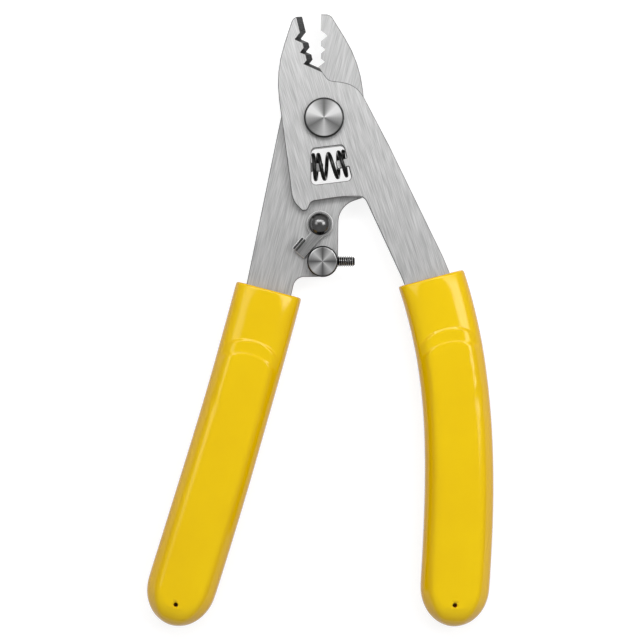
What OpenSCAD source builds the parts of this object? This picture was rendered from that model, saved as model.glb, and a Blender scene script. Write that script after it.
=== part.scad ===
// Three-hole fibre stripper: two lapped blades on a pivot screw, a return spring
// in their windows, a folding latch, an adjustable closing stop and two grips.
//
// Frame: the tool lies flat on z = 0 with the pivot axis on Z. +Y runs to the jaw
// tips, +X to the right-hand handle. All sizes are millimetres and degrees.
// The back blade stands square to the frame. The front blade is drawn closed, in
// the back blade's hand, then turned over and swung open.

/* [Blades] */
// Thickness of each blade plate
plate_t = 2.5; // [2.2:0.1:3]
// Play between the blades, and under the heads that let a piece turn
running_gap = 0.05; // [0.03:0.01:0.08]
// Angle that the front blade stands open
opening = 13.8; // [11:0.1:15]
// Pivot to the jaw tips
jaw_len = 27.2; // [26:0.1:29]
// Centre line to the outer corner of a jaw's tip
tip_w = 1.65; // [1.2:0.05:2.2]
// Centre line to the outer edge where the jaw bows
bow_w = 9.4; // [8.8:0.1:10]
// Centre line to the outer edge at the foot of the body
foot_w = 13.05; // [12.4:0.05:13.4]
// Pivot to the foot of the body
foot_y = 19; // [18.5:0.1:20]
// Pivot to the body's lower edge
body_len = 20.95; // [20.4:0.05:21.3]
// Pivot to the tip of the front blade's lobe, which the latch props
lobe_len = 23; // [22.4:0.1:23.4]
// Shoulder where the back blade's handle leaves the body
back_shoulder = 9.95; // [9.4:0.05:10.4]
// Shoulder where the front blade's handle leaves the body
front_shoulder = 10.4; // [10.1:0.05:10.9]

/* [Cutting edges] */
// How far each cutting edge passes the centre line when closed
jaw_overlap = 0.8; // [0.6:0.05:1]
// Opening left across the jacket notches when closed
jacket_hole = 2; // [1.6:0.05:2.4]
// Opening left across the buffer notches when closed
buffer_hole = 0.84; // [0.6:0.02:1]
// Opening left across the coating notches when closed
coating_hole = 0.48; // [0.2:0.02:0.6]
// Pivot to the jacket notch
jacket_y = 21.6; // [21.2:0.1:22.2]
// Jacket notch to the buffer notch
buffer_step = 3.6; // [3.2:0.1:3.8]
// Buffer notch to the coating notch
coating_step = 3.15; // [2.8:0.05:3.3]
// Angle between the two flanks of a notch
notch_angle = 76; // [60:1:80]
// Angle of the ground bevel behind the cutting edges
bevel_angle = 32.8; // [20:0.1:36]

/* [Windows and spring] */
// Pivot to the upper edge of the windows
window_top = 7.5; // [7.2:0.05:7.9]
// Pivot to the lower edge of the windows
window_low = 16.9; // [16.7:0.05:17.4]
// Corner radius of the windows
window_r = 1.2; // [0.6:0.1:1.6]
// Centre line to the face that each end of the spring sits on
seat_x = 3.3; // [3:0.05:3.6]
// Pivot to the spring's axis
peg_y = 12.6; // [12.3:0.05:12.7]
// Width of the peg inside each end of the spring
peg_w = 2.2; // [1.6:0.1:2.3]
// Length of each peg
peg_len = 3.1; // [2:0.1:3.1]
// Outer diameter of the return spring
spring_od = 7.5; // [7.45:0.05:7.7]
// Diameter of the spring wire
wire_d = 0.9; // [0.7:0.05:0.92]
// Turns of the spring
spring_turns = 4; // [3:1:4]
// How far the end turns are closed up
end_closing = 0.085; // [0.03:0.005:0.09]

/* [Pivot] */
// Diameter of the pivot screw's head
head_d = 10.4; // [9:0.1:12]
// Height of the pivot screw's head
head_h = 1.8; // [1.2:0.1:2.6]
// Diameter of the shoulder that the front blade turns on
shoulder_d = 6.5; // [6:0.1:8]
// Thread diameter of the pivot screw
thread_d = 5; // [4:0.1:5.6]
// Radial clearance of a turning or threaded fit
fit = 0.04; // [0.02:0.01:0.08]
// Width of the pivot nut across its flats
nut_af = 8; // [7:0.1:9]
// Height of the pivot nut
nut_h = 2.5; // [2.4:0.1:3.2]
// Outer diameter of the spring washer under the nut
washer_d = 8.8; // [7.4:0.1:10]
// Thickness of the spring washer
washer_t = 0.5; // [0.3:0.05:0.8]

/* [Latch] */
// Rivet's place, measured from the pivot to the right
rivet_x = -1.09; // [-1.6:0.01:-0.8]
// Rivet's place, measured from the pivot towards the handles
rivet_y = 27.46; // [27.2:0.01:27.8]
// Diameter of the rivet's dome
dome_d = 5.8; // [5:0.1:6.4]
// Height of the rivet's dome
dome_h = 2; // [1.4:0.1:2.4]
// Diameter of the rivet's shank
rivet_d = 3; // [2.4:0.1:3.6]
// Diameter of the washer under the lever
latch_washer_d = 6.2; // [5:0.1:6.6]
// Thickness of the washer under the lever
latch_washer_t = 0.3; // [0.2:0.05:0.5]
// Thickness of the lever's sheet
lever_t = 0.9; // [0.7:0.05:1.1]
// Radius of the lever's round end
lever_r = 3.45; // [3.2:0.05:3.6]
// Rivet to the lever's square end
lever_len = 9.5; // [8.6:0.1:9.8]
// Width of the lever's strap
lever_w = 3.2; // [2.8:0.05:3.2]
// How far the strap lies to the stop's side of the rivet
lever_side = 2.75; // [2.4:0.05:2.75]
// Direction of the strap from the rivet
lever_angle = 229.3; // [226:0.1:229.3]
// Length of the turned-up thumb tab
tab_len = 4; // [3:0.1:5]
// Height of the thumb tab above the strap
tab_h = 2.4; // [1.5:0.1:3]
// Angle that the thumb tab leans outwards
tab_lean = 8; // [0:1:12]
// Inner radius of the bend that turns the thumb tab up
tab_bend_r = 0.4; // [0.2:0.05:0.6]

/* [Closing stop] */
// Post's place, measured from the pivot to the right
post_x = -0.36; // [-0.4:0.01:0]
// Post's place, measured from the pivot towards the handles
post_y = 37.21; // [37.2:0.01:38]
// Diameter of the stop post
post_d = 8.1; // [7.6:0.1:8.1]
// Height of the stop post above the back blade
post_h = 3.2; // [3.1:0.1:4]
// Chamfer round the top of the stop post
post_chamfer = 0.45; // [0.2:0.05:0.5]
// Diameter of the post's riveted spigot
spigot_d = 4; // [3.4:0.1:4.8]
// Height that riveted ends stand proud at the back
tail_h = 0.7; // [0.4:0.1:1]
// Thread diameter of the stop screw
stop_d = 2.5; // [2.2:0.1:2.6]
// Length of the stop screw
stop_len = 10; // [9:0.1:10.2]
// How far the stop screw stands out of the post
stop_reach = 4.29; // [3.5:0.01:4.3]
// Height of the stop screw's axis above the back blade
stop_z = 1.45; // [1.4:0.05:1.6]
// Width of the hexagon socket across its flats
socket_af = 1.27; // [0.9:0.01:1.4]
// Depth of the hexagon socket
socket_depth = 2; // [1:0.1:3]

/* [Grips] */
// Pivot to the middle of the left grip's mouth, to the left
left_mouth_x = 14.3; // [13.8:0.1:14.8]
// Pivot to the middle of the left grip's mouth, towards the handles
left_mouth_y = 44.5; // [44:0.1:46]
// Pivot to the middle of the right grip's mouth when closed, to the right
right_mouth_x = 17.1; // [16.6:0.1:17.6]
// Pivot to the middle of the right grip's mouth when closed, towards the handles
right_mouth_y = 46.9; // [46.2:0.1:48]
// Thickness of the grips over their raised panels
grip_t = 11; // [10.6:0.1:12]
// Thickness of the grips at their collars
collar_t = 10.3; // [10:0.1:10.8]
// Thickness that the sides' curve would reach if the panels didn't cut it flat
side_t = 12.4; // [12:0.1:13.6]
// Width of a grip at its collar
collar_w = 17.6; // [17:0.1:18.4]
// Width of a grip near its end
palm_w = 18.1; // [17.6:0.1:19.4]
// Length of the left grip along its curve
left_grip_len = 91; // [84:0.5:98]
// Length of the right grip along its curve
right_grip_len = 92.5; // [86:0.5:98]
// Squareness of the grips' section: 2 is an ellipse
grip_square = 2.6; // [2.4:0.1:3.2]
// Rounding of the rim where the blade enters
rim_r = 0.6; // [0.4:0.1:1.2]
// Length of the rounded end
end_len = 10.5; // [9:0.1:14]
// How far the collar's shoulders fall away at the mouth
mouth_ease = 0.5; // [0.2:0.1:0.8]
// Collar length, up to the crown of the thumb stop's first step
collar_len = 13.4; // [12:0.1:18]
// Length of the thumb stop, from the collar up to the panel
ramp_len = 4.3; // [3.6:0.1:5]
// Length of each of the thumb stop's two steps
step_run = 0.8; // [0.6:0.1:1.2]
// Radius of the arch that the thumb stop makes across a grip
thumb_r = 10; // [9.6:0.1:14]
// Width of the tangs at the mouth of the grips
tang_w = 12.1; // [11:0.1:12.2]
// Width of the tangs at their ends
tang_end_w = 9; // [7:0.1:10]
// Radius of the corners at the tangs' ends
tang_end_r = 4; // [2:0.5:4.5]
// Clearance round the tangs in the grips
tang_fit = 0.05; // [0.03:0.01:0.1]
// Diameter of the vent hole near each grip's end
vent_d = 1.2; // [0.8:0.1:2]
// Vent hole to the grip's end
vent_inset = 6.1; // [4:0.1:8]
// Depth of the vent holes
vent_depth = 5; // [2:0.5:8]

/* [Hidden] */
$fn = 64;

// Levels, from the face that the tool rests on up to the screw's head
z_back = nut_h + washer_t;
z_mate = z_back + plate_t;
z_front = z_mate + running_gap;
z_head = z_front + plate_t + running_gap;
z_mid = (z_mate + z_front) / 2;
z_lever = z_mate + latch_washer_t + running_gap;
z_dome = z_lever + lever_t + running_gap;

half_open = opening / 2;
neck_x = 2.2;
neck_y = 12.4;
waist_y = 9.2;
shoulder_y = 6.5;
bow_y = 14.7;
tang_bend_r = 40;

// Grip paths in the back blade's hand: mouth, three equal legs' leans, length, how far
// the tang lies off the grip's middle at the mouth, and the slant of the mouth
left_path = [[-left_mouth_x, -left_mouth_y], [14.8, 16.9, 17.8], left_grip_len, 0, 0];
right_path = [[-right_mouth_x, -right_mouth_y], [5, -18, -17.7], right_grip_len, 0.85, -4];

// ---- plane geometry ----
function unit(v) = v / norm(v);
function turned(v, a) = [v.x * cos(a) - v.y * sin(a), v.x * sin(a) + v.y * cos(a)];
function heading(lean) = [-sin(lean), -cos(lean)];
function across(v) = [-v.y, v.x];
function smooth(x) = let (t = max(0, min(1, x))) t * t * (3 - 2 * t);

// Points of the arc that rounds the corner at b, between its neighbours a and c
function corner(a, b, c) =
    let (p = [b.x, b.y], u = unit([a.x, a.y] - p), v = unit([c.x, c.y] - p),
         half = acos(max(-1, min(1, u * v))) / 2)
    b[2] == 0 || half > 89.9 ? [p] :
    let (room = 0.5 * min(norm([a.x, a.y] - p), norm([c.x, c.y] - p)),
         r = min(b[2], room * tan(half)),
         hub = p + unit(u + v) * r / sin(half),
         from = p + u * r / tan(half) - hub,
         side = u.x * v.y - u.y * v.x > 0 ? -1 : 1,
         sweep = side * (180 - 2 * half),
         steps = max(1, ceil(abs(sweep) / 8)))
    [for (i = [0 : steps]) hub + turned(from, sweep * i / steps)];

// A closed outline of [x, y, corner radius] with its corners rounded
function rounded(v) = let (n = len(v))
    [for (i = [0 : n - 1]) each corner(v[(i + n - 1) % n], v[i], v[(i + 1) % n])];

// The same outline grown outwards by d: its corners run anticlockwise
function grown(v, d) = let (n = len(v)) [for (i = [0 : n - 1])
    let (a = v[(i + n - 1) % n], b = v[i], c = v[(i + 1) % n],
         n1 = unit([b.y - a.y, a.x - b.x]), n2 = unit([c.y - b.y, b.x - c.x]),
         left = (b.x - a.x) * (c.y - b.y) - (b.y - a.y) * (c.x - b.x) > 0,
         m = (n1 + n2) * d / (1 + n1 * n2))
    [b.x + m.x, b.y + m.y, b[2] == 0 ? 0 : max(0.01, b[2] + (left ? d : -d))]];

// ---- grip paths and tangs ----
function leg_points(g) = let (l = g[2] / 3, a = g[0], b = a + l * heading(g[1][0]),
    c = b + l * heading(g[1][1])) [a, b, c, c + l * heading(g[1][2])];
function on_path(g, u) = let (p = leg_points(g), w = 1 - u)
    w * w * w * p[0] + 3 * w * w * u * p[1] + 3 * w * u * u * p[2] + u * u * u * p[3];
function path_heading(g, u) = let (p = leg_points(g), w = 1 - u)
    unit(w * w * (p[1] - p[0]) + 2 * w * u * (p[2] - p[1]) + u * u * (p[3] - p[2]));

// A point on the tang's edge: side is -1 on the outer edge and 1 on the inner
function tang_point(g, u, side, r) =
    let (p = on_path(g, u) + across(path_heading(g, u))
         * (g[3] * (1 - smooth(4 * u)) + side * (tang_w + (tang_end_w - tang_w) * u) / 2))
    [p.x, p.y, r];
tang_u = [0, 0.3, 0.55];
tang_end_u = 0.8;
function tang(g) = concat(
    [for (u = tang_u) tang_point(g, u, -1, tang_bend_r)],
    [tang_point(g, tang_end_u, -1, tang_end_r), tang_point(g, tang_end_u, 1, tang_end_r)],
    [for (i = [len(tang_u) - 1 : -1 : 0]) tang_point(g, tang_u[i], 1, tang_bend_r)]);

// ---- blade outlines, in the back blade's hand, anticlockwise ----
function neck(shoulder) = [[-neck_x, jaw_len, 0], [-neck_x, neck_y, 1.5],
    [-neck_x - 1.2, waist_y, 2.5], [-shoulder, shoulder_y, 9]];
jaw_back = [[bow_w, bow_y, 54], [tip_w, jaw_len, 2]];
post_round = post_d / 2 - 0.1;
back_corners = [
    [-7.6, -post_y - post_round, 4],
    [post_x + post_round, -post_y - post_round, post_round],
    [3.78, -body_len - 1.65, 6],
    [foot_w - 0.1, -foot_y - 0.6, 3]];
front_corners = [
    [-5.3, -body_len - 1.35, 2.2],
    [-0.2, -body_len, 40],
    [8.35, -body_len + 0.75, 1.5],
    [10.6, -lobe_len, 1.2],
    [foot_w, -foot_y, 5]];
front_bulge = [[-14.7, -11, 40]];
back_outline = concat(neck(back_shoulder), tang(left_path), back_corners, jaw_back);
front_outline = concat(neck(front_shoulder), front_bulge, tang(right_path),
    front_corners, jaw_back);

// Windows: mirror images about the bisector, so they line up when open
function window_half(y) = (seat_x + y * sin(half_open)) / cos(half_open);
function in_window(x, y, r) = let (p = turned([x, -y], half_open)) [p.x, p.y, r];
window_corners = [
    in_window(-window_half(window_top), window_top, window_r),
    [-seat_x, -peg_y + peg_w / 2, 0.25],
    [-seat_x + peg_len, -peg_y + peg_w / 2, 0.4],
    [-seat_x + peg_len, -peg_y - peg_w / 2, 0.4],
    [-seat_x, -peg_y - peg_w / 2, 0.25],
    in_window(-window_half(window_low), window_low, window_r),
    in_window(window_half(window_low), window_low, window_r),
    in_window(window_half(window_top), window_top, window_r)];

// What the cutting edge is ground away from: down the lands and the three notches
notch_slope = tan(notch_angle / 2);
buffer_y = jacket_y - buffer_step;
coating_y = buffer_y - coating_step;
clear_x = 6;
function notch(y, hole, r) = let (h = (jaw_overlap + hole / 2) * notch_slope)
    [[-jaw_overlap, y + h, 0.1], [hole / 2, y, r], [-jaw_overlap, y - h, 0.1]];
ground_away = concat(
    [[-clear_x, jaw_len + 1, 0], [-clear_x,
        coating_y - (clear_x + coating_hole / 2) * notch_slope, 0],
     [coating_hole / 2, coating_y, 0.08],
     [-jaw_overlap, coating_y + (jaw_overlap + coating_hole / 2) * notch_slope, 0.1]],
    [for (v = [notch(buffer_y, buffer_hole, 0.15), notch(jacket_y, jacket_hole, 0.25)])
        each [v[2], v[1], v[0]]],
    [[-jaw_overlap, jaw_len + 1, 0]]);

// A blade with its mating face at z = 0 and its body below
module blade(outline, bore) {
    difference() {
        translate([0, 0, -plate_t]) linear_extrude(plate_t) polygon(rounded(outline));
        translate([0, 0, -plate_t - 1]) linear_extrude(plate_t + 2)
            polygon(rounded(window_corners));
        translate([0, 0, -plate_t - 1]) cylinder(d = bore, h = plate_t + 2);
        // The bevel is a slanted sweep of the edge, so its outline is squeezed to suit
        rotate([0, -bevel_angle, 0]) linear_extrude(40, center = true)
            polygon([for (p = rounded(ground_away)) [p.x * cos(bevel_angle), p.y]]);
    }
}

module front_blade() {
    color("silver") rotate([0, 0, opening]) translate([0, 0, z_front])
        rotate([0, 180, 0]) blade(front_outline, shoulder_d + 2 * fit);
}

module back_blade() {
    color("silver") difference() {
        translate([0, 0, z_mate]) blade(back_outline, thread_d + 2 * fit);
        translate([rivet_x, -rivet_y, z_back - 1])
            cylinder(d = rivet_d + 2 * fit, h = plate_t + 2);
        translate([post_x, -post_y, z_back - 1])
            cylinder(d = spigot_d + 2 * fit, h = plate_t + 2);
    }
}

// ---- pivot ----
module pivot_screw() {
    edge = 0.25;
    point = 0.4;
    color("gainsboro") rotate_extrude() polygon([
        [0, 0], [thread_d / 2 - point, 0], [thread_d / 2, point], [thread_d / 2, z_mate],
        [shoulder_d / 2, z_mate], [shoulder_d / 2, z_head], [head_d / 2, z_head],
        [head_d / 2, z_head + head_h - edge], [head_d / 2 - edge, z_head + head_h],
        [0, z_head + head_h]]);
}

module pivot_washer() {
    color("darkgray") translate([0, 0, nut_h]) difference() {
        cylinder(d = washer_d, h = washer_t);
        translate([0, 0, -1]) cylinder(d = thread_d + 2 * fit, h = washer_t + 2);
    }
}

module pivot_nut() {
    corner_r = nut_af / 2 / cos(30);
    bevel = 0.35;
    color("darkgray") difference() {
        intersection() {
            cylinder(r = corner_r, h = nut_h, $fn = 6);
            rotate_extrude() polygon([[0, 0], [corner_r - 2 * bevel, 0],
                [corner_r, bevel], [corner_r, nut_h - bevel],
                [corner_r - 2 * bevel, nut_h], [0, nut_h]]);
        }
        translate([0, 0, -1]) cylinder(d = thread_d + 2 * fit, h = nut_h + 2);
    }
}

// ---- return spring: a coil on an arc, square to the seat at each end ----
bend_y = seat_x / tan(half_open);
bend_r = bend_y + peg_y;
seat_play = 0.06;
coil_r = (spring_od - wire_d) / 2;
coil_run = bend_r * opening * PI / 180 - wire_d - 2 * seat_play;
steps_turn = 20;
wire_sides = 8;
// Distance along the axis after t turns, with the end turns closed up
function coil_at(t) = wire_d / 2 + seat_play
    + coil_run * (t / spring_turns - end_closing * sin(360 * t / spring_turns));
function coil_lead(t) = coil_run
    * (1 - 2 * PI * end_closing * cos(360 * t / spring_turns)) / spring_turns;
function wire_ring(t) =
    let (psi = coil_at(t) / bend_r * 180 / PI, a = 360 * t,
         along = [cos(psi), sin(psi), 0], up = [-sin(psi), cos(psi), 0],
         out = cos(a) * up + sin(a) * [0, 0, 1],
         ahead = unit(coil_lead(t) * along
             + 2 * PI * coil_r * (cos(a) * [0, 0, 1] - sin(a) * up)),
         side = cross(ahead, out),
         hub = [-seat_x, bend_y, z_mid] - bend_r * up + coil_r * out)
    [for (k = [0 : wire_sides - 1]) let (b = 360 * k / wire_sides)
        hub + wire_d / 2 * (cos(b) * out + sin(b) * side)];

// Closed skin over rings of points, each ring with m points
module skin(rings, m) {
    n = len(rings);
    polyhedron(points = [for (r = rings) each r], faces = concat(
        [[for (k = [0 : m - 1]) k], [for (k = [m - 1 : -1 : 0]) (n - 1) * m + k]],
        [for (i = [0 : n - 2], k = [0 : m - 1]) let (a = i * m + k, b = i * m + (k + 1) % m)
            each [[a, a + m, b], [b, a + m, b + m]]]));
}

module return_spring() {
    n = spring_turns * steps_turn;
    color("dimgray") skin([for (i = [0 : n]) wire_ring(i / steps_turn)], wire_sides);
}

// ---- latch ----
module at_latch() {
    translate([rivet_x, -rivet_y, 0]) rotate([0, 0, lever_angle]) children();
}

// The strap's section at the tab: flat, round the bend and up, its face leaning out
tab_foot = lever_side - lever_w - lever_t + (lever_t + tab_h) * tan(tab_lean);
tab_up = [-sin(tab_lean), cos(tab_lean)] / cos(tab_lean);
tab_thick = [cos(tab_lean), sin(tab_lean)] * lever_t;
tab_top = [tab_foot, 0] + tab_up * (lever_t + tab_h);
tab_inner = [tab_foot, 0] + tab_thick + tab_up * (lever_t - tab_thick.y);
tab_section = [[lever_side, 0, 0], [lever_side, lever_t, 0],
    [tab_inner.x, tab_inner.y, tab_bend_r],
    [tab_top.x + tab_thick.x, tab_top.y + tab_thick.y, 0], [tab_top.x, tab_top.y, 0],
    [tab_foot, 0, tab_bend_r + lever_t]];

module latch_lever() {
    color("silver") at_latch() difference() {
        union() {
            translate([0, 0, z_lever]) cylinder(r = lever_r, h = lever_t);
            translate([0, lever_side - lever_w, z_lever])
                cube([lever_len - tab_len, lever_w, lever_t]);
            translate([lever_len - tab_len, 0, z_lever]) rotate([90, 0, 90])
                linear_extrude(tab_len) polygon(rounded(tab_section));
        }
        translate([0, 0, z_lever - 1]) cylinder(d = rivet_d + 2 * fit, h = lever_t + 2);
    }
}

module latch_rivet() {
    ball_r = (dome_d * dome_d / 4 + dome_h * dome_h) / (2 * dome_h);
    color("dimgray") translate([rivet_x, -rivet_y, 0]) {
        intersection() {
            translate([0, 0, z_dome + dome_h - ball_r]) sphere(r = ball_r);
            translate([0, 0, z_dome]) cylinder(d = dome_d, h = dome_h);
        }
        translate([0, 0, z_back - tail_h]) cylinder(d = rivet_d, h = z_dome + tail_h - z_back);
        translate([0, 0, z_back - tail_h]) cylinder(d1 = rivet_d + 1, d2 = rivet_d + 2, h = tail_h);
    }
}

module latch_washer() {
    color("darkgray") translate([rivet_x, -rivet_y, z_mate]) difference() {
        cylinder(d = latch_washer_d, h = latch_washer_t);
        translate([0, 0, -1]) cylinder(d = rivet_d + 2 * fit, h = latch_washer_t + 2);
    }
}

// ---- closing stop ----
module stop_post() {
    color("gainsboro") difference() {
        translate([post_x, -post_y, 0]) rotate_extrude() polygon([
            [0, z_back - tail_h], [spigot_d / 2 + 0.5, z_back - tail_h],
            [spigot_d / 2 + 1, z_back], [spigot_d / 2, z_back], [spigot_d / 2, z_mate],
            [post_d / 2, z_mate], [post_d / 2, z_mate + post_h - post_chamfer],
            [post_d / 2 - post_chamfer, z_mate + post_h], [0, z_mate + post_h]]);
        translate([post_x - post_d, -post_y, z_mate + stop_z]) rotate([0, 90, 0])
            cylinder(d = stop_d + 2 * fit, h = 2 * post_d);
    }
}

module stop_screw() {
    tip = post_x + post_d / 2 + stop_reach;
    point = 0.35;
    color("dimgray") translate([tip - stop_len, -post_y, z_mate + stop_z])
        rotate([0, 90, 0]) difference() {
            union() {
                cylinder(d = stop_d, h = stop_len - point);
                translate([0, 0, stop_len - point])
                    cylinder(d1 = stop_d, d2 = stop_d - 2 * point, h = point);
            }
            translate([0, 0, -1])
                cylinder(d = socket_af / cos(30), h = socket_depth + 1, $fn = 6);
        }
}

// ---- grips: a squared oval lofted along the path, with raised panels cut flat ----
ring_points = 40;
end_drop = 9;
mouth_run = 9;
ease_len = 5;
support = 0.3;
panel_side = 0.6;
panel_fade = 0.3;
panel_from = collar_len + ramp_len + support;
second_step = collar_len + ramp_len - step_run;
// Stations along the grip's middle, in millimetres from the mouth
function stations(l) = concat(
    [for (a = [0 : 30 : 90]) rim_r * (1 - cos(a))],
    [for (i = [1 : 4]) rim_r + (ease_len - rim_r) * i / 4],
    [for (i = [1 : 2]) ease_len + (collar_len - ease_len) * i / 3],
    [collar_len - support, collar_len, collar_len + step_run],
    [for (i = [1, 3]) collar_len + step_run + (ramp_len - 2 * step_run) * i / 4],
    [second_step, collar_len + ramp_len],
    [for (i = [0 : 11]) panel_from + (l - end_len - panel_from) * i / 12],
    [for (a = [0 : 10 : 80]) l - end_len + end_len * sin(a)], [l - 0.02]);
function rim_inset(s) = s >= rim_r ? 0 : rim_r - sqrt(max(0, rim_r ^ 2 - (rim_r - s) ^ 2));
function end_scale(s, l, r) = sqrt(max(0, 1 - (max(0, s - l + r) / r) ^ 2));
function grip_half_w(s, l) = (collar_w + (palm_w - collar_w) * smooth((s - 25) / (l - 50))) / 2
    * end_scale(s, l, end_len) - rim_inset(s);
// How far the thumb stop's two steps have risen, from 0 on the collar to 1 on the panel
function step_risen(s, from) = max(0, min(1, (s - from) / step_run)) / 2;
function risen(s) = step_risen(s, collar_len) + step_risen(s, second_step);
// The panel stands on a grip's face alone: it fades into the sides, where x nears -1 or 1
function on_face(x) = 1 - smooth((abs(x) - panel_side) / panel_fade);
function mixed(a, b, t) = a + (b - a) * t;
function oval(a) = [sign(cos(a)) * abs(cos(a)) ^ (2 / grip_square),
    sign(sin(a)) * abs(sin(a)) ^ (2 / grip_square)];
// How far the shoulders have fallen near the mouth, where the section's curve is at x
function eased(s, x) = mouth_ease * max(0, 1 - s / ease_len) ^ 2 * min(1, 4 * x * x);
// Height off the mid plane where the section's curve is at o, from -1 to 1 each way
function grip_z(s, l, o) =
    let (full = mixed(collar_t, side_t, risen(s) * on_face(o.x)) / 2
             * end_scale(s, l, end_drop),
         flat = mixed(collar_t, grip_t, risen(s)) / 2)
    sign(o.y) * min(abs(o.y) * (full - rim_inset(s) - eased(s, o.x)), flat);
// The stations bow towards the mouth round the thumb stop and run straight elsewhere
function bow(s, x) = (thumb_r - sqrt(thumb_r ^ 2 - x ^ 2)) * smooth(s / collar_len)
    * (1 - smooth((s - panel_from) / 30));
function grip_ring(g, s) = let (w = grip_half_w(s, g[2]))
    [for (k = [0 : ring_points - 1])
        let (o = oval(360 * k / ring_points), u = (s + bow(s, w * o.x)) / g[2],
             p = on_path(g, u), ahead = path_heading(g, u),
             e = across(ahead) + ahead * tan(g[4]) * (1 - smooth(s / mouth_run)))
        [p.x + e.x * w * o.x, p.y + e.y * w * o.x, grip_t / 2 + grip_z(s, g[2], o)]];

// A grip in the back blade's hand, with a pocket for the tang of a blade at height z
module grip(g, outline_start, outline_end, z) {
    vent = on_path(g, 1) - vent_inset * path_heading(g, 1);
    difference() {
        skin([for (s = stations(g[2])) grip_ring(g, s)], ring_points);
        translate([0, 0, z - tang_fit]) linear_extrude(plate_t + 2 * tang_fit)
            polygon(rounded(grown(concat([outline_start], tang(g), [outline_end]), tang_fit)));
        translate([vent.x, vent.y, grip_t - vent_depth]) cylinder(d = vent_d, h = vent_depth + 1);
    }
}

module left_grip() {
    color("gold") grip(left_path, neck(back_shoulder)[3], back_corners[0], z_back);
}

module right_grip() {
    color("gold") rotate([0, 0, opening]) mirror([1, 0, 0])
        grip(right_path, front_bulge[0], front_corners[0], z_front);
}

front_blade();
back_blade();
pivot_screw();
pivot_washer();
pivot_nut();
return_spring();
latch_lever();
latch_rivet();
latch_washer();
stop_post();
stop_screw();
left_grip();
right_grip();
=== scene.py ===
# Three-hole fibre stripper, lying open on its back on a white table, seen from above.
import math

import bmesh
import bpy
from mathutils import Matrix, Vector


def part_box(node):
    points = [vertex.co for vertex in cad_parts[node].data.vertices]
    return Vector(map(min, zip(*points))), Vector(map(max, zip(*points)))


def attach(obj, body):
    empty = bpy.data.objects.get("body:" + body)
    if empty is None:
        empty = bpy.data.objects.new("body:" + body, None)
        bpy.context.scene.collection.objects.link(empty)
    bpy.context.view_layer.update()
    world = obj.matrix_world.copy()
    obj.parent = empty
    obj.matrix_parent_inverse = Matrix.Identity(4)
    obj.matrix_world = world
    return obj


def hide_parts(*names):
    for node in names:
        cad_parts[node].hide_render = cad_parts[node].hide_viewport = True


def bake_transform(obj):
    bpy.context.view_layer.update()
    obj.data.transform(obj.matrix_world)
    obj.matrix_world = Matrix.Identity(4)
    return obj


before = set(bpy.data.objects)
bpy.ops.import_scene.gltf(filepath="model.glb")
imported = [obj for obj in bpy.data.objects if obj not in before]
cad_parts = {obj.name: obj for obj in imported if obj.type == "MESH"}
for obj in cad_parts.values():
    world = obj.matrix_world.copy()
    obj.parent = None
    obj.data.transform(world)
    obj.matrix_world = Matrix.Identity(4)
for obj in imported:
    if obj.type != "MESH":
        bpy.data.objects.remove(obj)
bpy.ops.object.select_all(action="DESELECT")
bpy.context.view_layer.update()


# Blades. Two plates of hardened tool steel, 2.5 mm thick, blanked and then ground flat on
# both faces along their handles. The edges are broken by tumbling and carry painted shade;
# the notches of the jaws are ground afterwards, with a bevel made dark, and their edges stay
# sharp.
MM = 0.001
WELD = 0.0005 * MM
NEARLY_FLAT = math.radians(0.6)
SMOOTH_UNDER = math.radians(35)
EDGE_BREAK = 0.2 * MM
SHORTEST_BROKEN = 0.02 * MM


def alone(piece):
    bpy.ops.object.select_all(action="DESELECT")
    piece.select_set(True)
    bpy.context.view_layer.objects.active = piece


def worked_copy(node_name, name):
    """A copy of a solid as one closed mesh, left in edit mode for finer work."""
    piece = bpy.data.objects.new(name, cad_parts[node_name].data.copy())
    bpy.context.scene.collection.objects.link(piece)
    piece.data.materials.clear()
    alone(piece)
    bpy.ops.object.mode_set(mode="EDIT")
    bpy.ops.mesh.select_all(action="SELECT")
    bpy.ops.mesh.remove_doubles(threshold=WELD)
    return piece


def select_edges(piece, wanted):
    """Selects the edges that the test wants; it gets the edge and its two faces."""
    bpy.ops.mesh.select_all(action="DESELECT")
    bpy.ops.mesh.select_mode(type="EDGE")
    mesh = bmesh.from_edit_mesh(piece.data)
    mesh.normal_update()
    for edge in mesh.edges:
        if len(edge.link_faces) == 2 and wanted(edge, *edge.link_faces):
            edge.select_set(True)
    mesh.select_flush_mode()
    bmesh.update_edit_mesh(piece.data)


def smoothed(piece):
    """Leaves edit mode and shades a piece smooth between its real edges."""
    bpy.ops.object.mode_set(mode="OBJECT")
    bpy.ops.object.shade_smooth_by_angle(angle=SMOOTH_UNDER)
    normals = piece.modifiers.new("normals", "WEIGHTED_NORMAL")
    normals.keep_sharp = True


def material(name):
    """A new node material, its tree and its Principled shader."""
    made = bpy.data.materials.new(name)
    made.use_nodes = True
    tree = made.node_tree
    return made, tree, tree.nodes["Principled BSDF"]


def node(tree, kind, sockets=None, **settings):
    """Adds a shader node. A socket takes a value or a link; settings are its properties."""
    made = tree.nodes.new("ShaderNode" + kind)
    for key, value in settings.items():
        setattr(made, key, value)
    for socket, value in (sockets or {}).items():
        target = made.inputs[socket]
        if isinstance(value, bpy.types.NodeSocket):
            tree.links.new(value, target)
        else:
            target.default_value = value
    return made


def math_node(tree, operation, *values):
    return node(tree, "Math", dict(enumerate(values)), operation=operation).outputs[0]


def ramp(tree, value, stops):
    """A colour ramp of (place, grey or colour) stops."""
    made = node(tree, "ValToRGB", {"Fac": value})
    elements = made.color_ramp.elements
    while len(elements) < len(stops):
        elements.new(0.5)
    for element, (place, colour) in zip(elements, stops):
        element.position = place
        element.color = (*([colour] * 3 if isinstance(colour, (int, float)) else colour), 1)
    return made.outputs["Color"]


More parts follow.
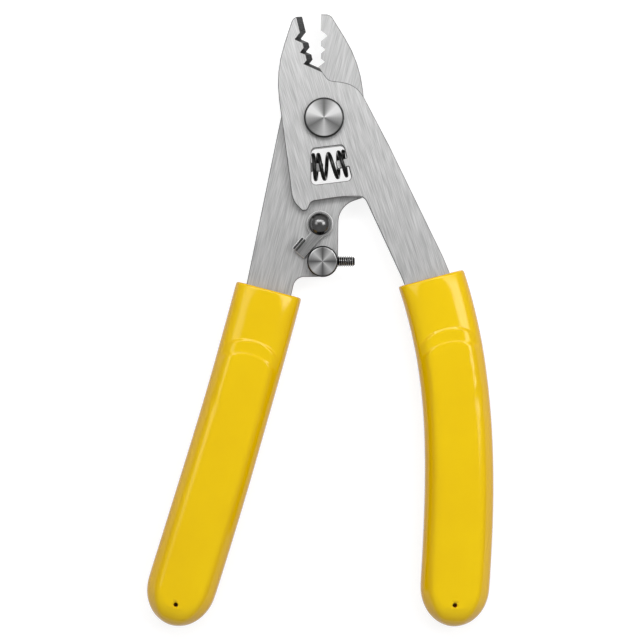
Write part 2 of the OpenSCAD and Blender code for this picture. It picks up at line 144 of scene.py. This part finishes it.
def bumped(tree, shader, height, distance):
    bump = node(tree, "Bump", {"Height": height, "Distance": distance, "Strength": 1.0})
    tree.links.new(bump.outputs["Normal"], shader.inputs["Normal"])


def brushed_steel(name, lean, dark, light, rough):
    """Ground steel: streaks that run down the plate, turned by lean degrees."""
    made, tree, shader = material(name)
    place = node(tree, "TexCoord").outputs["Object"]
    turned = node(tree, "Mapping", {"Vector": place, "Rotation": (0, 0, math.radians(lean))})

    def streaks(across, along):
        """Noise with so many grains to the metre across the plate and along it."""
        stretched = node(tree, "Mapping", {"Vector": turned.outputs[0],
                                           "Scale": (across, along, across)})
        return node(tree, "TexNoise", {"Vector": stretched.outputs[0], "Scale": 1.0,
                                       "Detail": 1, "Roughness": 0.5,
                                       "Distortion": 0.25}).outputs["Fac"]

    fine = streaks(across=5600, along=170)
    broad = streaks(across=2300, along=80)
    both = math_node(tree, "ADD", math_node(tree, "MULTIPLY", fine, 0.75),
                     math_node(tree, "MULTIPLY", broad, 0.25))
    tree.links.new(ramp(tree, both, [(0.36, dark), (0.64, light)]), shader.inputs["Base Color"])
    tree.links.new(math_node(tree, "MULTIPLY_ADD", both, 0.16, rough - 0.08),
                   shader.inputs["Roughness"])
    shader.inputs["Metallic"].default_value = 1.0
    bumped(tree, shader, both, distance=0.012 * MM)
    return made


def ground_bevel(name):
    """The ground bevel behind the cutting edges: coarser, cross-ground, and made far darker than
    the plates.
    """
    made, tree, shader = material(name)
    place = node(tree, "TexCoord").outputs["Object"]
    stretched = node(tree, "Mapping", {"Vector": place, "Scale": (900, 5200, 900)})
    lines = node(tree, "TexNoise", {"Vector": stretched.outputs[0], "Scale": 1.0,
                                    "Detail": 3.0}).outputs["Fac"]
    tree.links.new(ramp(tree, lines, [(0.35, 0.045), (0.65, 0.1)]), shader.inputs["Base Color"])
    shader.inputs["Metallic"].default_value = 0.9
    shader.inputs["Roughness"].default_value = 0.5
    bumped(tree, shader, lines, distance=0.01 * MM)
    return made


def blade(node_name, name, body, lean, dark, light):
    piece = worked_copy(node_name, name)
    piece.data.materials.append(brushed_steel(name + "_steel", lean, dark, light, rough=0.46))
    piece.data.materials.append(ground_bevel(name + "_bevel"))
    # Painted shade: the broken edges take this dark steel, which stands in for the shade along the
    # plates' edges.
    piece.data.materials.append(brushed_steel(name + "_edge", lean, 0.15, 0.23, rough=0.4))
    bpy.ops.mesh.dissolve_limited(angle_limit=NEARLY_FLAT)
    mesh = bmesh.from_edit_mesh(piece.data)
    for face in mesh.faces:
        slanted = 0.25 < abs(face.normal.z) < 0.9
        face.material_index = 1 if slanted else 0
    bmesh.update_edit_mesh(piece.data)

    def broken(edge, a, b):
        """Where a flat of the plate meets an upright side, and not a ground bevel."""
        flat, side = sorted((a, b), key=lambda f: -abs(f.normal.z))
        return (abs(flat.normal.z) > 0.99 and abs(side.normal.z) < 0.02
                and edge.calc_length() > SHORTEST_BROKEN)

    select_edges(piece, broken)
    bpy.ops.mesh.bevel(offset=EDGE_BREAK, segments=2, affect="EDGES", clamp_overlap=False,
                       loop_slide=False, material=2)
    smoothed(piece)
    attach(piece, body)
    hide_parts(node_name)


blade("back_blade", "back_blade_ground", "back_half", lean=14, dark=0.37, light=0.52)
blade("front_blade", "front_blade_ground", "front_half", lean=-17, dark=0.38, light=0.57)


# Pivot. A shoulder screw turned from bar, its head faced on the lathe, with a spring
# washer and a thin nut behind. The nut is set so that the blades just turn freely.
def mixed(tree, share, a, b, kind="MIX"):
    """Two colours mixed; share is how much of the second."""
    return node(tree, "Mix", {0: share, 6: a, 7: b}, data_type="RGBA",
                blend_type=kind).outputs[2]


def turned_steel(name, centre, rim, sheen):
    """Steel faced on a lathe: fine rings, a painted sheen that fans out from the centre, and a
    painted dark rim of shade. The sheen's stops run from the side at the jaws (0) both ways to the
    handles (1)."""
    made, tree, shader = material(name)
    place = node(tree, "TexCoord").outputs["Object"]
    moved = node(tree, "Mapping", {"Vector": place, "Location": [-c for c in centre]})
    apart = node(tree, "SeparateXYZ", {"Vector": moved.outputs[0]})
    x, y = apart.outputs[0], apart.outputs[1]
    radius = math_node(tree, "SQRT", math_node(tree, "ADD", math_node(tree, "MULTIPLY", x, x),
                                               math_node(tree, "MULTIPLY", y, y)))
    rings = node(tree, "TexNoise", {"W": math_node(tree, "MULTIPLY", radius, 9000.0),
                                    "Scale": 1.0, "Detail": 2.0}, noise_dimensions="1D")
    angle = math_node(tree, "ABSOLUTE", math_node(tree, "ARCTAN2", x, y))
    # Painted sheen: bright and dark sectors by angle round the centre, a painted reflection of the
    # turned face.
    painted_sheen_fan = ramp(tree, math_node(tree, "DIVIDE", angle, math.pi), sheen)
    painted_sheen_with_rings = mixed(tree, 0.3, painted_sheen_fan, rings.outputs["Fac"], "OVERLAY")
    # Painted shade: a near-black ring at the edge of the face stands in for the shade round it.
    painted_dark_rim = ramp(tree, math_node(tree, "DIVIDE", radius, rim), [(0.94, 0.0), (0.96, 1.0)])
    tree.links.new(mixed(tree, painted_dark_rim, painted_sheen_with_rings, (0.05, 0.05, 0.05, 1)), shader.inputs["Base Color"])
    shader.inputs["Metallic"].default_value = 1.0
    shader.inputs["Roughness"].default_value = 0.3
    bumped(tree, shader, rings.outputs["Fac"], distance=0.006 * MM)
    return made


def plain_steel(name, tone, rough):
    """Plated steel with a slightly uneven sheen."""
    made, tree, shader = material(name)
    place = node(tree, "TexCoord").outputs["Object"]
    cloud = node(tree, "TexNoise", {"Vector": place, "Scale": 900.0, "Detail": 4.0}).outputs["Fac"]
    tree.links.new(ramp(tree, cloud, [(0.3, tone * 0.85), (0.7, tone * 1.1)]),
                   shader.inputs["Base Color"])
    shader.inputs["Metallic"].default_value = 1.0
    shader.inputs["Roughness"].default_value = rough
    bumped(tree, shader, cloud, distance=0.004 * MM)
    return made


def finished(node_name, name, body, steel, width, other=None, on=None, edge=None):
    """A solid with its edges broken to a width and its own finish, another finish on the
    faces that the test on() picks, and a third on the broken edges."""
    piece = worked_copy(node_name, name)
    for made in (steel, other, edge):
        if made:
            piece.data.materials.append(made)
    bpy.ops.mesh.dissolve_limited(angle_limit=NEARLY_FLAT)
    if width:
        select_edges(piece, lambda e, a, b: a.normal.angle(b.normal, 0) > math.radians(30)
                     and e.is_convex)
        bpy.ops.mesh.bevel(offset=width, segments=3, affect="EDGES", clamp_overlap=False,
                           loop_slide=False, material=2 if edge else -1)
    smoothed(piece)
    for face in piece.data.polygons:
        if other and face.material_index < 2:
            face.material_index = 1 if on(face) else 0
    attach(piece, body)
    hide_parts(node_name)


# The pivot head's painted dark rim of shade starts just inside this radius, and its painted sheen
# follows these stops.
PIVOT_SHADE_RIM = 4.98 * MM
PIVOT_PAINTED_SHEEN = [(0.0, 0.2), (0.15, 0.55), (0.27, 0.95), (0.38, 0.95), (0.52, 0.45),
               (0.67, 0.2), (0.82, 0.36), (1.0, 0.68)]
finished("pivot_screw", "pivot_screw_faced", "back_half",
         turned_steel("pivot_screw_steel", (0, 0, 0), PIVOT_SHADE_RIM, PIVOT_PAINTED_SHEEN),
         width=0.1 * MM)
finished("pivot_washer", "pivot_washer_plated", "back_half",
         plain_steel("pivot_washer_steel", tone=0.45, rough=0.35),
         width=0.06 * MM)
finished("pivot_nut", "pivot_nut_plated", "back_half",
         plain_steel("pivot_nut_steel", tone=0.4, rough=0.35),
         width=0.08 * MM)


# Return spring. Dark drawn wire wound in four turns, its ends closed up; it lies across both
# windows on the blades' pegs.
WIRE_ROUNDING = 0.11 * MM  # makes up for what smoothing takes off the wire
spring = worked_copy("return_spring", "return_spring_wound")
bpy.ops.mesh.tris_convert_to_quads(face_threshold=math.radians(60),
                                   shape_threshold=math.radians(180))
bpy.ops.mesh.select_all(action="SELECT")
bpy.ops.transform.shrink_fatten(value=WIRE_ROUNDING)
bpy.ops.object.mode_set(mode="OBJECT")
bpy.ops.object.shade_smooth()
wire = spring.modifiers.new("wire", "SUBSURF")
wire.levels = wire.render_levels = 1
spring_steel, tree, shader = material("spring_steel_wire")
grime = node(tree, "TexNoise", {"Vector": node(tree, "TexCoord").outputs["Object"],
                                "Scale": 1500.0, "Detail": 3.0}).outputs["Fac"]
tree.links.new(ramp(tree, grime, [(0.35, 0.018), (0.7, 0.05)]), shader.inputs["Base Color"])
shader.inputs["Metallic"].default_value = 1.0
shader.inputs["Roughness"].default_value = 0.28
bumped(tree, shader, grime, distance=0.004 * MM)
spring.data.materials.append(spring_steel)
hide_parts("return_spring")
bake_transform(spring)


# Latch. A lever stamped from sheet with a bent-up tab, held by a dark domed rivet over a
# washer, so that a thumb can swing it up against the front blade's lobe. The top of the tab is
# made dark, and the lever's broken edges carry a painted highlight.
TAB_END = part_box("latch_lever")[1].z - 0.16 * MM
finished("latch_lever", "latch_lever_stamped", "latch",
         brushed_steel("latch_sheet_steel", lean=40, dark=0.26, light=0.4, rough=0.34),
         width=0.15 * MM,
         # The top of the tab is made near-black.
         other=plain_steel("latch_dark_tab_end_steel", tone=0.05, rough=0.5),
         on=lambda face: face.center.z > TAB_END,
         # Painted highlight: the lever's broken edges are painted bright, as if catching the
         # light.
         edge=plain_steel("latch_edge_painted_highlight", tone=0.75, rough=0.3))
finished("latch_washer", "latch_washer_plated", "back_half",
         plain_steel("latch_washer_steel", tone=0.4, rough=0.35), width=0)
finished("latch_rivet", "latch_rivet_domed", "back_half",
         plain_steel("latch_rivet_steel", tone=0.15, rough=0.2), width=0)


# Closing stop. A turned post riveted to the back blade, and across it a black socket set
# screw that is turned in or out to set how far the jaws close. The crests of its thread
# carry a painted highlight, its point is chamfered, and the key goes in from the post's far side.
POST_CENTRE = (-0.36 * MM, -37.21 * MM, 0)
# The post's painted dark rim of shade starts just inside this radius, and its painted sheen
# follows these stops.
POST_SHADE_RIM = 3.88 * MM
POST_PAINTED_SHEEN = [(0.0, 0.14), (0.25, 0.76), (0.5, 0.14), (0.75, 0.74), (1.0, 0.14)]
finished("stop_post", "stop_post_faced", "back_half",
         turned_steel("stop_post_steel", POST_CENTRE, POST_SHADE_RIM, POST_PAINTED_SHEEN),
         width=0.1 * MM)

THREAD_PITCH = 0.55 * MM
THREAD_DEPTH = 0.4 * MM
CRESTS_STAND_OUT = 0.18 * MM
POINT = 0.55 * MM
SOCKET_FLATS, SOCKET_DEPTH = 1.27 * MM, 2 * MM
STEP_WELD = 0.001 * MM
stop_low, stop_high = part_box("stop_screw")
stop_axis = (stop_low + stop_high) / 2
crest = (stop_high.z - stop_low.z) / 2 + CRESTS_STAND_OUT

# One tooth's outline, one pitch long, is swept round the screw's axis.
bpy.ops.mesh.primitive_grid_add(x_subdivisions=4, y_subdivisions=1, size=THREAD_PITCH)
stop_screw = bpy.context.object
stop_screw.name = stop_screw.data.name = "stop_screw_threaded"
bpy.ops.object.mode_set(mode="EDIT")
mesh = bmesh.from_edit_mesh(stop_screw.data)
bmesh.ops.delete(mesh, geom=[v for v in mesh.verts if v.co.y > 0], context="VERTS")
tooth = [crest - THREAD_DEPTH, crest - 0.3 * THREAD_DEPTH, crest,
         crest - 0.3 * THREAD_DEPTH, crest - THREAD_DEPTH]
for corner, out in zip(sorted(mesh.verts, key=lambda v: v.co.x), tooth):
    corner.co = (corner.co.x, 0, out)
bmesh.update_edit_mesh(stop_screw.data)
bpy.ops.object.mode_set(mode="OBJECT")
turns = stop_screw.modifiers.new("thread", "SCREW")
turns.axis = "X"
turns.steps = turns.render_steps = 24
turns.screw_offset = THREAD_PITCH
turns.iterations = int((stop_high.x - stop_low.x) / THREAD_PITCH) + 3
turns.use_merge_vertices = True
turns.merge_threshold = STEP_WELD
bpy.ops.object.modifier_apply(modifier="thread")

# The sweep is longer than the screw, and both of its ends are cut off square.
low_x = min(v.co.x for v in stop_screw.data.vertices)
bpy.ops.object.mode_set(mode="EDIT")
bpy.ops.mesh.select_all(action="SELECT")
bpy.ops.mesh.remove_doubles(threshold=STEP_WELD)
bpy.ops.transform.translate(value=(stop_low.x - low_x - 1.5 * THREAD_PITCH, stop_axis.y,
                                   stop_axis.z))
for end_x, inwards in ((stop_low.x, 1), (stop_high.x, -1)):
    bpy.ops.mesh.select_all(action="SELECT")
    bpy.ops.mesh.bisect(plane_co=(end_x, 0, 0), plane_no=(inwards, 0, 0), use_fill=True,
                        clear_inner=True, threshold=STEP_WELD)
bpy.ops.mesh.select_all(action="SELECT")
bpy.ops.mesh.normals_make_consistent(inside=False)

# The point: the nearer to the end, the less the thread may stand out.
mesh = bmesh.from_edit_mesh(stop_screw.data)
for corner in mesh.verts:
    from_end = stop_high.x - corner.co.x
    if from_end < POINT:
        most = crest - POINT + from_end
        out = Vector((0, corner.co.y - stop_axis.y, corner.co.z - stop_axis.z))
        if out.length > most:
            corner.co = Vector((corner.co.x, stop_axis.y, stop_axis.z)) + out * most / out.length
bmesh.update_edit_mesh(stop_screw.data)
bpy.ops.object.mode_set(mode="OBJECT")

bpy.ops.mesh.primitive_cylinder_add(vertices=6, radius=SOCKET_FLATS / math.sqrt(3),
                                    depth=2 * SOCKET_DEPTH,
                                    location=(stop_low.x, stop_axis.y, stop_axis.z),
                                    rotation=(math.radians(90), 0, math.radians(90)))
key = bpy.context.object
alone(stop_screw)
socket = stop_screw.modifiers.new("socket", "BOOLEAN")
socket.object, socket.operation, socket.solver = key, "DIFFERENCE", "EXACT"
bpy.ops.object.modifier_apply(modifier="socket")
bpy.data.objects.remove(key)
bpy.ops.object.shade_smooth_by_angle(angle=math.radians(28))

stop_screw.data.materials.append(plain_steel("stop_screw_oxide", tone=0.05, rough=0.25))
# Painted highlight: the thread's crests are painted bright, as glints along the black screw.
stop_screw.data.materials.append(plain_steel("stop_screw_crest_highlight", tone=0.6, rough=0.2))
highlight_from = crest - 0.4 * THREAD_DEPTH
for face in stop_screw.data.polygons:
    out = face.center - stop_axis
    if math.hypot(out.y, out.z) > highlight_from:
        face.material_index = 1
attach(stop_screw, "stop")
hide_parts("stop_screw")


# Grips. Soft yellow vinyl moulded over the tangs: a collar, an arched thumb stop, and a
# raised panel cut flat along each face. The colour is painted deeper down the sides as
# painted shade, and the gloss is even, with the faintest orange peel.
PANEL_START, PANEL_END = -72 * MM, -120 * MM
STOP_START, STOP_END = -52 * MM, -70 * MM
HARD_EDGE = math.radians(50)
STOP_EDGE = math.radians(6)


def vinyl(name):
    made, tree, shader = material(name)
    place = node(tree, "TexCoord").outputs["Object"]
    cloud = node(tree, "TexNoise", {"Vector": place, "Scale": 45.0, "Detail": 3.0}).outputs["Fac"]
    peel = node(tree, "TexNoise", {"Vector": place, "Scale": 900.0, "Detail": 2.0}).outputs["Fac"]
    face = ramp(tree, cloud, [(0.3, (0.81, 0.525, 0.0)), (0.7, (0.85, 0.575, 0.0))])
    way = node(tree, "SeparateXYZ", {"Vector": node(tree, "TexCoord").outputs["Normal"]})
    # Painted shade: where the surface turns from facing up to facing sideways, the yellow is
    # painted towards a deeper orange.
    side = ramp(tree, math_node(tree, "ABSOLUTE", way.outputs["Z"]), [(0.35, 1.0), (0.93, 0.0)])
    tree.links.new(mixed(tree, side, face, (0.74, 0.385, 0.0, 1)), shader.inputs["Base Color"])
    shader.inputs["Roughness"].default_value = 0.1
    shader.inputs["IOR"].default_value = 1.45
    shader.inputs["Specular Tint"].default_value = (1.0, 0.95, 0.8, 1.0)
    bumped(tree, shader, peel, distance=0.006 * MM)
    return made


yellow = vinyl("yellow_vinyl")


def thumb_stop_edge(edge, a, b):
    """A gentle edge across the front of a grip, within the thumb stop."""
    across = (edge.verts[0].co - edge.verts[1].co).normalized()
    return (STOP_EDGE < a.normal.angle(b.normal, 0) < HARD_EDGE
            and min(a.normal.z, b.normal.z) > 0.7 and abs(across.x) > 0.6
            and STOP_END < edge.verts[0].co.y < STOP_START)


def grip(node_name, name, body):
    piece = worked_copy(node_name, name)
    bpy.ops.mesh.tris_convert_to_quads(face_threshold=math.radians(50),
                                       shape_threshold=math.radians(120))
    select_edges(piece, lambda e, a, b: a.normal.angle(b.normal, 0) > HARD_EDGE)
    bpy.ops.transform.edge_crease(value=1.0)
    select_edges(piece, thumb_stop_edge)
    bpy.ops.transform.edge_crease(value=0.7)
    mesh = bmesh.from_edit_mesh(piece.data)
    for vert in mesh.verts:
        vert.select_set(vert.normal.z > 0.5 and PANEL_END < vert.co.y < PANEL_START)
    bmesh.update_edit_mesh(piece.data)
    bpy.ops.mesh.vertices_smooth(factor=0.5, repeat=1)
    bpy.ops.object.mode_set(mode="OBJECT")
    bpy.ops.object.shade_smooth()
    soft = piece.modifiers.new("soft", "SUBSURF")
    soft.levels = soft.render_levels = 2
    piece.data.materials.append(yellow)
    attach(piece, body)
    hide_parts(node_name)


grip("left_grip", "left_grip_moulded", "back_half")
grip("right_grip", "right_grip_moulded", "front_half")


# Table. A sheet of white paper that shows as white to the camera and in the steel, and
# still takes the stripper's shadow. It lies just under the undersides of the grips.
bpy.ops.mesh.primitive_plane_add(size=6, location=(0, -50 * MM, -0.02 * MM))
table = bpy.context.object
table.name = table.data.name = "table"
paper, tree, shader = material("white_paper")
shader.inputs["Base Color"].default_value = (0.3, 0.3, 0.3, 1)
shader.inputs["Roughness"].default_value = 0.9
seen = node(tree, "LightPath")
white = math_node(tree, "MAXIMUM", seen.outputs["Is Camera Ray"],
                  math_node(tree, "MAXIMUM", seen.outputs["Is Glossy Ray"],
                            seen.outputs["Is Transmission Ray"]))
tree.links.new(math_node(tree, "MULTIPLY", white, 0.8), shader.inputs["Emission Strength"])
shader.inputs["Emission Color"].default_value = (1, 1, 1, 1)
table.data.materials.append(paper)


# Light. A wide soft box past the jaws with a narrow strip under it, and a box at each side,
# all of them fading towards their edges. The room is nearly even overhead, and a little
# brighter past the jaws and past the handles than at the sides.
AIM = Vector((0, -0.05, 0))
MID_GAIN = 1.8  # gives a box back what its faded edges take


def soft_box(name, place, width, height, power):
    lamp = bpy.data.lights.new(name, "AREA")
    lamp.shape, lamp.size, lamp.size_y, lamp.energy = "RECTANGLE", width, height, power
    box = bpy.data.objects.new(name, lamp)
    bpy.context.scene.collection.objects.link(box)
    box.location = place
    box.rotation_euler = (AIM - Vector(place)).to_track_quat("-Z", "Y").to_euler()
    lamp.use_nodes = True
    tree = lamp.node_tree
    across = node(tree, "SeparateXYZ",
                  {"Vector": node(tree, "NewGeometry").outputs["Parametric"]})
    fades = [ramp(tree, across.outputs[i],
                  [(0.0, 0.0), (0.25, 1.0), (0.75, 1.0), (1.0, 0.0)])
             for i in (0, 1)]
    strength = math_node(tree, "MULTIPLY", math_node(tree, "MULTIPLY", *fades), MID_GAIN)
    tree.links.new(strength, tree.nodes["Emission"].inputs["Strength"])


soft_box("top_box", (0, 0.26, 0.5), width=0.9, height=0.26, power=1.35)
soft_box("strip_box", (0, 0.24, 0.38), width=0.9, height=0.04, power=0.3)
soft_box("left_box", (-0.38, 0.06, 0.54), width=0.32, height=0.36, power=0.4)
soft_box("right_box", (0.4, 0.06, 0.52), width=0.36, height=0.4, power=1.25)

world = bpy.data.worlds.new("room")
world.use_nodes = True
bpy.context.scene.world = world
tree = world.node_tree
way = node(tree, "SeparateXYZ", {"Vector": node(tree, "TexCoord").outputs["Generated"]})
room = ramp(tree, math_node(tree, "MAXIMUM", way.outputs["Z"], 0.0),
            [(0.0, 0.3), (0.6, 0.35), (0.9, 0.35), (1.0, 0.33)])
aside = ramp(tree, math_node(tree, "MULTIPLY_ADD", way.outputs["Y"], 0.5, 0.5),
             [(0.1, 0.8), (0.45, 0.65), (0.55, 0.65), (0.9, 1.0)])
lit = mixed(tree, 1.0, room, aside, "MULTIPLY")
tree.links.new(lit, tree.nodes["Background"].inputs["Color"])
tree.nodes["Background"].inputs["Strength"].default_value = 1.62


# Camera. Straight above the middle of the stripper, with a long lens, so that the handles'
# height hardly shows; the view is as tall as VIEW_HEIGHT at the height of the blades.
VIEW_MID = Vector((-1.04 * MM, -52.4 * MM, 6.5 * MM))
VIEW_HEIGHT = 166.4 * MM
eye = bpy.data.cameras.new("camera")
eye.lens, eye.sensor_width = 135, 36
camera = bpy.data.objects.new("camera", eye)
bpy.context.scene.collection.objects.link(camera)
camera.location = VIEW_MID + Vector((0, 0, VIEW_HEIGHT * eye.lens / eye.sensor_width))
bpy.context.scene.camera = camera
bpy.context.scene.view_settings.view_transform = "Standard"
